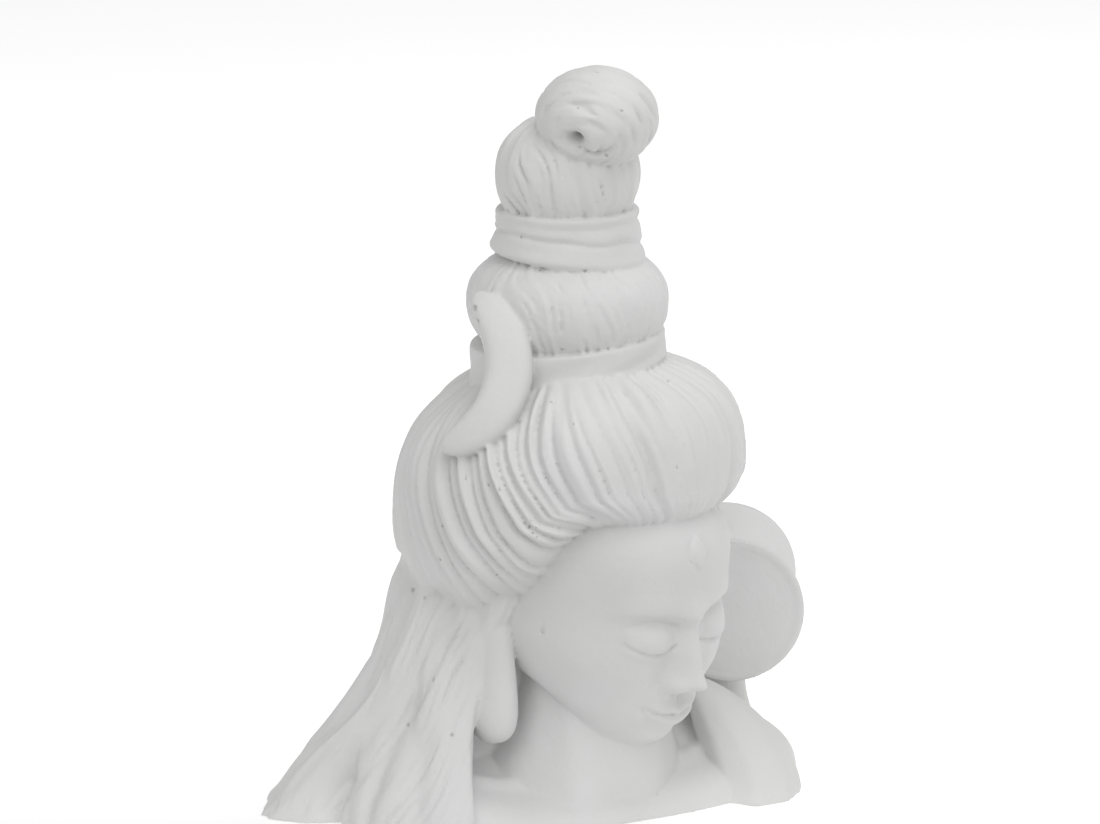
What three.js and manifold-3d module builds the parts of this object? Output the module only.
// Bust of a seated deity, cast in one piece in white resin and marble powder and cut flat below.
// The figure's chest faces -Y and its left side is +X. The origin is on the underside, on the hair's axis.
import * as THREE from "three";
import { mergeVertices } from "three/addons/utils/BufferGeometryUtils.js";
import Module from "manifold-3d";

const wasm = await Module();
wasm.setup();

// Driving dimensions, in millimetres and degrees.
// Head and face.
const HEAD_YAW = 20;
const HEAD_PITCH = 14;
const HEAD_RISE = 39.5;
const HEAD_FORWARD = 11.5;
const FACE_HEIGHT = 42.4;
const FACE_WIDTH = 38;
const FACE_DEPTH = 23.6;
const SKULL_DEPTH = 18;
// The great swelling of combed hair over the head.
const DOME_RADIUS = 30.7;
const DOME_ABOVE_HEAD = 16.6;
const DOME_CROWN = 24.1;
const DOME_UNDER = 17;
const DOME_UNDER_BROW = 9.2;
const DOME_TEMPLE_LIFT = 4.2;
const DOME_BROW_SWELL = 1;
const DOME_FAR_SAG = 0.07;
const DOME_TILT = 0.15;
const DOME_LOCKS = 25;
const DOME_LOCK_DEPTH = 1.5;
// The tied topknot, from the lower band up to the bun.
const LOWER_BAND_RADIUS = 17.7;
const LOWER_BAND_HEIGHT = 6.1;
const LOWER_BAND_SINK = 3.6;
const MIDDLE_ROLL_RADIUS = 17.6;
const MIDDLE_ROLL_CROWN = 10.3;
const MIDDLE_ROLL_SEAT = 6.4;
const UPPER_BAND_RADIUS = 13.2;
const UPPER_BAND_TAPER = 0.9;
const UPPER_BAND_HEIGHT = 8.5;
const UPPER_BAND_SINK = 2.6;
const UPPER_ROLL_RADIUS = 12.5;
const UPPER_ROLL_CROWN = 10.4;
const UPPER_ROLL_SEAT = 6;
const BUN_RADIUS = 10.5;
const BUN_HALF_HEIGHT = 8.6;
const BUN_SEAT = 0.2;
const BUN_FORWARD = 7;
// The crescent moon that lies on the hair.
const MOON_ARC_RADIUS = 15.2;
const MOON_WIDTH = 10.4;
const MOON_THICKNESS = 6.4;
const MOON_LEAN = 27;
const MOON_PROUD = 8.35;
const MOON_RISE = 4.6;
const MOON_SIDEWAYS = 25.2;
// The ears, neck, shoulders and fallen hair.
const LOBE_LENGTH = 25.6;
const LOBE_WIDTH = 9;
const TEMPLE_LOCK_WIDTH = 7.5;
const TEMPLE_LOCK_LENGTH = 35;
const NECK_RADIUS = 12.6;
const SHOULDER_HALF_WIDTH = 43.8;
const SHOULDER_HALF_DEPTH = 23.5;
const SHOULDER_RISE = 13;
const THROAT_SHARE = 0.5;
const FALL_RISE = 46;
const FALL_TOP_RADIUS = 28.5;
const FALL_NEAR_REACH = 54;
const FALL_FAR_REACH = 23.5;
const FALL_BACK_REACH = 26;
const FALL_LOCKS = 13;
const FOOT_CUT = 3.5;
const LAID_LOCKS = 7;
const LAID_RISE = 47;
const LAID_TOP_WIDTH = 7.4;
const LAID_FOOT_WIDTH = 11;
const LAID_THICKNESS = 6;
const FAR_FALL_RISE = 19;
const FAR_FALL_SIDEWAYS = 33.3;
const FAR_FALL_HALF_WIDTH = 8.4;
const FAR_FALL_HALF_DEPTH = 10.5;
// The hourglass drum behind the far shoulder, and its support.
const DRUM_RADIUS = 13.3;
const DRUM_LENGTH = 26.5;
const DRUM_WAIST = 6.5;
const DRUM_RISE = 27.5;
const DRUM_SIDEWAYS = 38.1;
const DRUM_BACK = 11.8;
const STEM_RADIUS = 5.6;

// Shape helpers.
const radians = THREE.MathUtils.degToRad;
const mix = THREE.MathUtils.lerp;
const ease = (from, to, x) => THREE.MathUtils.smoothstep((x - from) / (to - from), 0, 1);
const bump = (x, y = 0) => Math.exp(-x * x - y * y);
const rounded = (x, power) => Math.pow(Math.max(0, 1 - Math.pow(Math.abs(x), power)), 1 / power);
const signedPower = (x, power) => Math.sign(x) * Math.pow(Math.abs(x), power);
// Rounded ridges with narrow valleys, count of them in one full turn: 0 in a valley and 1 on a ridge.
const ridges = (turn, count) => Math.sqrt(Math.abs(Math.sin((turn * count) / 2)));

// A closed form of rings, capped at both ends. place(turn, share, hub, point) sets each point: turn runs
// counterclockwise round the form's axis, share from 0 at the top ring to 1 at the lowest, and hub is 0 at
// the caps' middles and 1 on the rings.
function loft(columns, rings, place) {
  const form = new THREE.SphereGeometry(1, columns, rings + 1);
  form.deleteAttribute("normal");
  form.deleteAttribute("uv");
  const points = form.getAttribute("position");
  const point = new THREE.Vector3();
  for (let row = 0; row <= rings + 1; row++) {
    const hub = row === 0 || row === rings + 1 ? 0 : 1;
    const share = THREE.MathUtils.clamp((row - 1) / (rings - 1), 0, 1);
    for (let column = 0; column <= columns; column++) {
      const turn = hub ? (2 * Math.PI * (column % columns)) / columns : 0;
      place(turn, share, hub, point);
      points.setXYZ(row * (columns + 1) + column, point.x, point.y, point.z);
    }
  }
  return mergeVertices(form, 1e-4);
}

function solidOf(form) {
  const vertProperties = new Float32Array(form.getAttribute("position").array);
  const triVerts = new Uint32Array(form.index.array);
  return new wasm.Manifold(new wasm.Mesh({ numProp: 3, vertProperties, triVerts }));
}

// Heights of the stack, each worked out from the piece below it.
const domeCentre = HEAD_RISE + DOME_ABOVE_HEAD;
const lowerBandFoot = domeCentre + DOME_CROWN - LOWER_BAND_SINK;
const lowerBandTop = lowerBandFoot + LOWER_BAND_HEIGHT;
const middleRollCentre = lowerBandTop + MIDDLE_ROLL_SEAT;
const upperBandFoot = middleRollCentre + MIDDLE_ROLL_CROWN - UPPER_BAND_SINK;
const upperBandTop = upperBandFoot + UPPER_BAND_HEIGHT;
const upperRollCentre = upperBandTop + UPPER_ROLL_SEAT;
const bunCentre = upperRollCentre + UPPER_ROLL_CROWN + BUN_SEAT;

// Directions seen from above: where the face looks, and the way in which the hair mass tips up.
const faceTurn = radians(HEAD_YAW - 90);
const tiltTurn = faceTurn + radians(45);
const tiltAt = (point, amount) => amount * (point.x * Math.cos(tiltTurn) + point.y * Math.sin(tiltTurn));
const angleFrom = (turn, start) => Math.atan2(Math.sin(turn - start), Math.cos(turn - start));

// The face, on plain thirds: hairline to brow, brow to nose base, nose base to chin.
// side is the distance from the midline and up the height over the eyes' middle line.
const third = FACE_HEIGHT / 3;
const chinUp = -1.75 * third;
const noseBaseUp = chinUp + third;
const mouthUp = noseBaseUp - third / 3;
const browUp = noseBaseUp + third;
const eyeSide = FACE_WIDTH * 0.2;

function eyeRelief(side, up) {
  const across = side - eyeSide;
  const socket = -2.3 * bump(across / 5.6, (up - 0.4) / 4.2);
  const ball = 2.5 * bump(across / 3.9, up / 2.9);
  const lidEdge = -2.1 + 0.6 * Math.min(1, (across / 4.6) ** 2);
  const lid = ease(lidEdge - 0.5, lidEdge + 0.3, up) - ease(0, 3.4, up);
  const crease = bump(across / 4.6, (up - 3.1) / 0.8);
  return socket + ball + 0.55 * lid * bump(across / 4.4) - 0.45 * crease;
}

function browRelief(side, up) {
  const arch = browUp - 0.4 + 1.5 * Math.sin((Math.min(side, 14) / 14) * Math.PI);
  return 1.1 * bump((up - arch) / 1.9) * (1 - ease(9, 16, side));
}

function noseRelief(side, up) {
  const root = browUp - 1.5;
  const down = THREE.MathUtils.clamp((root - up) / (root - noseBaseUp - 1.5), 0, 1);
  const rise = mix(1.0, 6.6, Math.pow(down, 1.15)) * ease(noseBaseUp - 2, noseBaseUp + 2.2, up);
  const bridge = rise * bump(side / mix(2.3, 2.9, down)) * (1 - ease(root, browUp + 4, up));
  const wing = 2.5 * bump((side - 3.1) / 1.7, (up - noseBaseUp - 1) / 1.9);
  return bridge + wing;
}

function mouthRelief(side, up) {
  const bow = 0.03 * side * side;
  const muzzle = 1.5 * bump(side / 7.5, (up - mouthUp) / 5);
  const upper = 1.25 * bump(side / 4.6, (up - mouthUp - 1.35 + bow) / 1.15);
  const lower = 1.35 * bump(side / 4.1, (up - mouthUp + 1.6 - bow) / 1.3);
  const parting = -0.9 * bump(side / 5.4, (up - mouthUp) / 0.6);
  return muzzle + upper + lower + parting;
}

function chinRelief(side, up) {
  const ball = 1.9 * bump(side / 5.2, (up - chinUp - 2.6) / 3.2);
  const crease = -0.6 * bump(side / 5, (up - mouthUp + 4.1) / 1.3);
  return ball + crease;
}

// A small raised leaf stands upright in the middle of the forehead.
function leafRelief(side, up) {
  const halfHeight = third * 0.2;
  const along = (up - browUp - third * 0.42) / halfHeight;
  const halfWidth = 1.5 * Math.sqrt(Math.max(0.02, 1 - along * along));
  return 0.55 * (1 - ease(0.6, 1.25, side / halfWidth)) * (1 - ease(0.8, 1.15, Math.abs(along)));
}

function faceRelief(side, up) {
  const cheek = 1.1 * bump((side - 9.6) / 5, (up + 6.5) / 6);
  const eyes = eyeRelief(side, up) + browRelief(side, up);
  const middle = noseRelief(side, up) + leafRelief(side, up);
  return cheek + eyes + middle + mouthRelief(side, up) + chinRelief(side, up);
}

// Columns crowd together at the face, and the skull's crown is left under the hair.
function headForm() {
  const crown = 1.6 * third;
  const floor = chinUp - 2.2;
  const middle = (crown + floor) / 2;
  const halfHeight = (crown - floor) / 2 + 0.01;
  const axisForward = -5;
  const frontShare = 0.34;
  const faceSquareness = 2 / 2.35;
  const form = loft(34, 27, (turn, share, hub, point) => {
    const w = turn / Math.PI - 1;
    const round = Math.PI * (frontShare * w + (1 - frontShare) * w * w * w);
    const up = mix(crown, floor, share);
    const closing = hub * rounded((up - middle) / halfHeight, 4);
    const jaw = 2.6 * ease(-0.3 * third, chinUp * 0.7, up) + 3.6 * ease(chinUp * 0.6, chinUp, up);
    const halfWidth = (FACE_WIDTH / 2 - jaw - 2 * ease(0.8 * third, crown, up)) * closing;
    const front = FACE_DEPTH - 1.2 * ease(0, chinUp, up) - 1.2 * ease(0.9 * third, 1.9 * third, up);
    const depth = (Math.cos(round) > 0 ? front : SKULL_DEPTH) * closing;
    const side = halfWidth * signedPower(Math.sin(round), faceSquareness);
    const facing = ease(0.05, 0.75, Math.cos(round)) * closing;
    const outward = depth * signedPower(Math.cos(round), faceSquareness);
    const forward = axisForward + outward + facing * faceRelief(Math.abs(side), up);
    const lift = 7 * ease(12, -6, forward) * ease(chinUp * 0.45, floor, up);
    point.set(side, -forward, up + lift);
  });
  form.rotateX(radians(HEAD_PITCH));
  form.translate(0, -HEAD_FORWARD, HEAD_RISE);
  form.rotateZ(radians(HEAD_YAW));
  return form;
}

// A lock leaves the lower band at fromFace, bows back a little and sweeps forward to the hairline.
function domeSweep(fromFace, share) {
  const sideways = Math.sin(fromFace) * (0.5 + 0.5 * Math.abs(Math.cos(fromFace / 2)));
  const bow = mix(0.06, 0.42, ease(radians(88), radians(130), Math.abs(fromFace)));
  const beside = ease(radians(50), radians(85), Math.abs(fromFace));
  const early = mix(0.15 * ease(0.1, 0.5, share), 0.36 * ease(0.05, 0.55, share), beside);
  const late = mix(0.64 * ease(0.3, 0.85, share), 0.5 * ease(0.4, 1, share), beside);
  return sideways * (bow * Math.sin(Math.PI * share) - early - late);
}

// The hairline is high over the near temple and comes down in front of the ears.
function domeForm() {
  const crownSquareness = 2 / 2.6;
  const templeTurn = radians(-37);
  const templeWidth = radians(24);
  const cheekTurn = radians(38);
  const earTurn = radians(70);
  return loft(3 * DOME_LOCKS, 12, (turn, share, hub, point) => {
    const fromFace = angleFrom(turn, faceTurn);
    const arc = Math.PI * mix(0.1, 0.88, share);
    const at = turn + domeSweep(fromFace, share);
    const there = angleFrom(at, faceTurn);
    const lift = DOME_TEMPLE_LIFT * bump((there - templeTurn) / templeWidth) * ease(0, Math.PI / 2, arc);
    const under = mix(DOME_UNDER_BROW, DOME_UNDER, ease(cheekTurn, earTurn, Math.abs(there)));
    const swell = DOME_BROW_SWELL * Math.pow(Math.max(0, Math.cos(fromFace)), 3);
    const upper = arc < Math.PI / 2;
    const out = upper ? Math.pow(Math.sin(arc), crownSquareness) : Math.sin(arc);
    const crown = DOME_CROWN * (1 - DOME_FAR_SAG * Math.max(0, Math.cos(at - tiltTurn)));
    const up = upper ? crown * Math.pow(Math.cos(arc), crownSquareness) : under * Math.cos(arc);
    const carved = ease(0, 0.25, share) * (1 - ease(0.75, 1, share));
    const lock = DOME_LOCK_DEPTH * carved * (ridges(turn, DOME_LOCKS) - 0.7);
    const reach = hub * ((DOME_RADIUS + swell) * out + lock);
    point.set(reach * Math.cos(at), reach * Math.sin(at), domeCentre + up + lift);
    point.z += tiltAt(point, DOME_TILT);
  });
}

// A tied band: a low puck with a rounded rim. reachAt(level, turn) gives its radius, level 0 at its top edge.
function bandForm(foot, height, columns, rings, reachAt, tiltBy) {
  return loft(columns, rings, (turn, share, hub, point) => {
    const level = 0.5 - 0.5 * Math.cos(Math.PI * share);
    const reach = hub * (reachAt(level, turn) - 0.5 * Math.pow(2 * level - 1, 8));
    point.set(reach * Math.cos(turn), reach * Math.sin(turn), foot + height * (1 - level));
    point.z += tiltAt(point, tiltBy(level));
  });
}

const lowerBandForm = () =>
  bandForm(lowerBandFoot, LOWER_BAND_HEIGHT, 36, 6, () => LOWER_BAND_RADIUS, () => DOME_TILT);

// Two lengthwise folds run round the upper band, and its top edge flares.
function upperBandForm() {
  const foldDepth = 0.6;
  const reachAt = (level, turn) => {
    const plain = UPPER_BAND_RADIUS - UPPER_BAND_TAPER * (1 - level) + 0.5 * bump(level / 0.14);
    const first = bump((level - 0.28) / 0.07);
    const second = bump((level - 0.62 - 0.12 * Math.sin(turn + 0.9)) / 0.09);
    return plain - foldDepth * (first + second);
  };
  return bandForm(upperBandFoot, UPPER_BAND_HEIGHT, 36, 10, reachAt, (level) => -0.1 * level);
}

// A gathered roll of hair between two bands, its locks leaning as they rise.
function rollForm(centre, radius, crown, under, locks) {
  const squareness = 2 / 2.2;
  const lockDepth = 0.9;
  const lean = 0.35;
  return loft(3 * locks, 6, (turn, share, hub, point) => {
    const arc = Math.PI * mix(0.16, 0.84, share);
    const out = Math.pow(Math.sin(arc), squareness);
    const up = signedPower(Math.cos(arc), squareness);
    const reach = hub * (radius * out + lockDepth * (ridges(turn, locks) - 0.7));
    const at = turn + lean * (share - 0.5);
    point.set(reach * Math.cos(at), reach * Math.sin(at), centre + up * (up > 0 ? crown : under));
  });
}

const middleRollForm = () => rollForm(middleRollCentre, MIDDLE_ROLL_RADIUS, MIDDLE_ROLL_CROWN, 12, 17);
const upperRollForm = () => rollForm(upperRollCentre, UPPER_ROLL_RADIUS, UPPER_ROLL_CROWN, 12, 13);

// The bun is wound round a small hollow low on its near side.
function bunForm() {
  const hollowDepth = 2.6;
  const coilDepth = 0.35;
  const coils = 5;
  const hollowSide = new THREE.Vector3(-0.72, -0.6, -0.3).normalize();
  const form = loft(20, 12, (turn, share, hub, point) => {
    const arc = Math.PI * (hub ? mix(0.03, 0.97, share) : share);
    const coil = coilDepth * Math.sin(2 * Math.PI * coils * share + turn) * ease(0, 0.2, share);
    const reach = 1 + (coil * hub - hollowDepth * bump(arc / 0.24)) / BUN_RADIUS;
    const out = reach * Math.sin(arc);
    point.set(out * Math.cos(turn), out * Math.sin(turn), reach * Math.cos(arc));
  });
  form.applyQuaternion(new THREE.Quaternion().setFromUnitVectors(new THREE.Vector3(0, 0, 1), hollowSide));
  form.scale(BUN_RADIUS, BUN_RADIUS, BUN_HALF_HEIGHT);
  form.translate(BUN_FORWARD * Math.cos(faceTurn), BUN_FORWARD * Math.sin(faceTurn), bunCentre);
  return form;
}

// A rounded form carried along a path between two blunt tips. pathAt(share) gives its middle,
// wideAt(share) the way its width runs, and widthAt and thickAt its size there.
function sweptForm(columns, rings, pathAt, wideAt, widthAt, thickAt) {
  const step = 0.01;
  return loft(columns, rings, (turn, share, hub, point) => {
    const at = 0.5 - 0.5 * Math.cos(Math.PI * (hub ? mix(0.08, 0.92, share) : share));
    const along = pathAt(Math.min(1, at + step)).sub(pathAt(Math.max(0, at - step))).normalize();
    const wide = wideAt(at);
    wide.addScaledVector(along, -wide.dot(along)).normalize();
    const thick = new THREE.Vector3().crossVectors(wide, along);
    const end = hub * Math.sqrt(1 - Math.pow(2 * at - 1, 6));
    point.copy(pathAt(at));
    point.addScaledVector(wide, 0.5 * end * widthAt(at) * Math.cos(turn));
    point.addScaledVector(thick, 0.5 * end * thickAt(at) * Math.sin(turn));
  });
}

// The crescent moon lies over the lower band, open to the figure's back, and leans with the hair under it.
function moonForm() {
  const facing = tiltTurn - Math.PI / 2;
  const lean = radians(MOON_LEAN);
  const out = new THREE.Vector3(Math.cos(facing), Math.sin(facing), 0);
  const sideways = new THREE.Vector3(-Math.sin(facing), Math.cos(facing), 0);
  const upward = new THREE.Vector3(0, 0, Math.cos(lean)).addScaledVector(out, -Math.sin(lean));
  const middle = new THREE.Vector3(0, 0, lowerBandFoot + MOON_RISE);
  middle.addScaledVector(sideways, -MOON_SIDEWAYS).addScaledVector(out, LOWER_BAND_RADIUS * 0.5 + MOON_PROUD);
  const swing = (share) => radians(mix(54, -77, share));
  const spoke = (share) =>
    sideways.clone().multiplyScalar(Math.cos(swing(share))).addScaledVector(upward, Math.sin(swing(share)));
  const sinkAt = (share) => -2.2 * ease(0.6, 1, share) - 0.8 * ease(0.4, 0, share);
  const pathAt = (share) =>
    middle.clone().addScaledVector(spoke(share), MOON_ARC_RADIUS).addScaledVector(out, sinkAt(share));
  const taper = (share) => mix(0.5, 1, Math.sqrt(Math.sin(Math.PI * mix(0.06, 0.94, share))));
  const widthAt = (share) => MOON_WIDTH * taper(share);
  return sweptForm(10, 11, pathAt, spoke, widthAt, (share) => MOON_THICKNESS * taper(share));
}

// An ear whose long lobe hangs clear of the neck; hand is -1 on the figure's right and 1 on its left.
function earForm(hand) {
  const top = new THREE.Vector3(hand * (FACE_WIDTH * 0.5 + 0.6), 8, -2);
  const tip = new THREE.Vector3(hand * (FACE_WIDTH * 0.5 + 2.4), 9.6, -LOBE_LENGTH);
  const pathAt = (share) => new THREE.Vector3().lerpVectors(top, tip, share);
  const widthAt = (share) => LOBE_WIDTH * mix(0.8, 1, share);
  const backward = () => new THREE.Vector3(0, 1, 0);
  const form = sweptForm(10, 6, pathAt, backward, widthAt, (share) => widthAt(share) * 0.75);
  form.translate(0, -HEAD_FORWARD, HEAD_RISE);
  form.rotateZ(radians(HEAD_YAW));
  return form;
}

// A lock comes from under the swelling at the temple, covers the ear's top and falls behind the lobe.
function templeLockForm(hand) {
  const path = new THREE.CatmullRomCurve3([
    new THREE.Vector3(hand * FACE_WIDTH * 0.47, 6, 5),
    new THREE.Vector3(hand * FACE_WIDTH * 0.56, 13, -9),
    new THREE.Vector3(hand * FACE_WIDTH * 0.6, 19, 5 - TEMPLE_LOCK_LENGTH),
  ]);
  const backward = () => new THREE.Vector3(0, 1, 0);
  const form = sweptForm(8, 7, (share) => path.getPoint(share), backward, () => TEMPLE_LOCK_WIDTH, () => 6);
  form.translate(0, -HEAD_FORWARD, HEAD_RISE);
  form.rotateZ(radians(HEAD_YAW));
  return form;
}

// The neck leans forward into the jaw and spreads at its root.
function neckForm() {
  const top = HEAD_RISE - 8;
  const lean = HEAD_FORWARD - 5;
  return loft(18, 5, (turn, share, hub, point) => {
    const rise = top * (1 - share);
    const reach = hub * NECK_RADIUS * (1 + 0.6 * bump(rise / (0.5 * top)));
    point.set(reach * Math.cos(turn), reach * Math.sin(turn), rise);
    point.x += lean * (1 - share) * Math.cos(faceTurn);
    point.y += lean * (1 - share) * Math.sin(faceTurn);
  });
}

// The shoulders slope down to the chest below the throat.
function shoulderForm() {
  const squareness = 2 / 2.5;
  return loft(30, 6, (turn, share, hub, point) => {
    const spread = hub * Math.max(0.12, Math.sin((Math.PI / 2) * share));
    const across = SHOULDER_HALF_WIDTH * spread * signedPower(Math.cos(turn), squareness);
    const behind = SHOULDER_HALF_DEPTH * spread * signedPower(Math.sin(turn), squareness) + 1;
    const front = ease(4, -15, behind) * ease(36, 16, Math.abs(across));
    const rise = SHOULDER_RISE * (1 - Math.pow(share, 2.4)) * mix(1, THROAT_SHARE, front);
    point.set(across, behind, share < 1 ? rise : 0);
  });
}

// Hair fallen from under the swelling: straight down the back, and spread over the near shoulder.
// It leaves the throat bare between its two front edges.
function fallForm() {
  const squareness = 2.4;
  const lockShare = 0.055;
  const crowding = 0.45;
  const throatHalfTurn = radians(78);
  const edgeHalfTurn = 0.26;
  return loft(3 * FALL_LOCKS, 8, (turn, share, hub, point) => {
    const near = mix(FALL_TOP_RADIUS, FALL_NEAR_REACH, Math.pow(share, 1.4));
    const far = mix(0.88 * FALL_TOP_RADIUS, FALL_FAR_REACH, share);
    const back = mix(FALL_TOP_RADIUS, FALL_BACK_REACH, share);
    const at = turn + crowding * Math.sin(turn);
    const c = Math.cos(at);
    const s = Math.sin(at);
    const across = Math.pow(Math.abs(c) / (c < 0 ? near : far), squareness);
    const around = Math.pow(across + Math.pow(Math.abs(s) / back, squareness), -1 / squareness);
    const fromThroat = Math.abs(Math.atan2(c, -s));
    const bare = mix(0.3, 1, ease(throatHalfTurn - edgeHalfTurn, throatHalfTurn + edgeHalfTurn, fromThroat));
    const lock = 1 + lockShare * (ridges(turn, FALL_LOCKS) - 0.9) * ease(0, 0.15, share);
    const wave = at + 0.1 * Math.sin(5 * share);
    const reach = hub * around * lock * bare;
    point.set(reach * Math.cos(wave), reach * Math.sin(wave), FALL_RISE * (1 - share));
  });
}

// Locks laid side by side from under the swelling over the near shoulder. order is 0 for the lock beside the
// face and 1 for the outermost, and every foot runs a little below the flat underside before it is cut.
function laidLockForm(order) {
  const inner = 1 - order;
  const topSide = mix(-14, -24.5, order);
  const topAhead = mix(11.5, 1.5, Math.pow(order, 1.3));
  const footSide = mix(-22, -45, order);
  const footAhead = 30 * Math.sqrt(1 - 0.95 * order * order);
  const pointAt = (sideShare, aheadShare, inward, rise) => {
    const side = mix(topSide, footSide, sideShare) - inward * inner;
    return new THREE.Vector3(side, -mix(topAhead, footAhead, aheadShare), rise);
  };
  const path = new THREE.CubicBezierCurve3(
    pointAt(0, 0, 0, LAID_RISE),
    pointAt(0.14, 0.12, 3, 0.62 * LAID_RISE),
    pointAt(0.54, 0.62, 2.2, 0.36 * LAID_RISE),
    pointAt(1, 1, 0, -FOOT_CUT),
  );
  const sideways = () => new THREE.Vector3(1, 0, 0);
  const widthAt = (share) => mix(LAID_TOP_WIDTH, LAID_FOOT_WIDTH, share);
  const form = sweptForm(8, 6, (share) => path.getPoint(share), sideways, widthAt, () => LAID_THICKNESS);
  form.rotateZ(tiltTurn);
  return form;
}

// One smooth mass of hair over the far shoulder: a mound that leans in to the neck as it rises.
function farFallForm() {
  const leanIn = 10.5;
  const leanBack = 8;
  const form = loft(18, 7, (turn, share, hub, point) => {
    const arc = (Math.PI / 2) * mix(0.08, 1, share);
    const height = share < 1 ? Math.cos(arc) : 0;
    const spread = hub * Math.pow(Math.sin(arc), 0.8);
    const across = FAR_FALL_SIDEWAYS - leanIn * Math.pow(height, 1.7);
    const behind = leanBack * height - 0.5;
    point.x = across + FAR_FALL_HALF_WIDTH * spread * Math.cos(turn);
    point.y = behind + FAR_FALL_HALF_DEPTH * spread * Math.sin(turn);
    point.z = FAR_FALL_RISE * height;
  });
  form.rotateZ(tiltTurn);
  return form;
}

// The hourglass drum lies level behind the far shoulder, one flat skin towards the figure's front right.
function drumForm() {
  const rim = 0.82;
  const inset = 0.5;
  const form = loft(24, 11, (turn, share, hub, point) => {
    const skin = share === 0 || share === 1;
    const level = THREE.MathUtils.clamp((share - 0.1) / 0.8, 0, 1);
    const waisted = mix(DRUM_WAIST, DRUM_RADIUS, Math.pow(Math.abs(2 * level - 1), 1.4));
    const reach = hub * (skin ? rim * DRUM_RADIUS : waisted);
    const along = (0.5 - level) * (DRUM_LENGTH - (skin ? 2 * inset : 0));
    point.set(reach * Math.cos(turn), reach * Math.sin(turn), along);
  });
  form.rotateY(Math.PI / 2);
  form.rotateZ(tiltTurn + Math.PI / 2);
  form.translate(DRUM_SIDEWAYS, DRUM_BACK, DRUM_RISE);
  return form;
}

function stemForm() {
  return loft(14, 6, (turn, share, hub, point) => {
    const swell = STEM_RADIUS * (1 - 0.25 * ease(0, 0.5, share)) + 3 * ease(0.55, 1, share);
    const reach = hub * swell;
    point.set(reach * Math.cos(turn), reach * Math.sin(turn), DRUM_RISE * (1 - share));
    point.x += DRUM_SIDEWAYS - 3 * share;
    point.y += DRUM_BACK - 3 * share;
  });
}

function bustGeometry() {
  const forms = [
    shoulderForm(),
    neckForm(),
    fallForm(),
    farFallForm(),
    headForm(),
    earForm(-1),
    earForm(1),
    templeLockForm(-1),
    templeLockForm(1),
    domeForm(),
    lowerBandForm(),
    middleRollForm(),
    upperBandForm(),
    upperRollForm(),
    bunForm(),
    moonForm(),
    stemForm(),
    drumForm(),
  ];
  for (let lock = 0; lock < LAID_LOCKS; lock++) {
    forms.push(laidLockForm(lock / (LAID_LOCKS - 1)));
  }
  const joined = forms.map(solidOf).reduce((whole, solid) => whole.add(solid));
  const mesh = joined.trimByPlane([0, 0, 1], 0).getMesh();
  const geometry = new THREE.BufferGeometry();
  geometry.setAttribute("position", new THREE.BufferAttribute(mesh.vertProperties, 3));
  geometry.setIndex(new THREE.BufferAttribute(mesh.triVerts, 1));
  geometry.computeVertexNormals();
  return geometry;
}

const castResin = new THREE.MeshStandardMaterial({ color: 0xe9e9e6, roughness: 0.72, metalness: 0 });
const bust = new THREE.Mesh(bustGeometry(), castResin);
bust.name = "shiva_bust";

const part = new THREE.Group();
part.add(bust);
export default part;
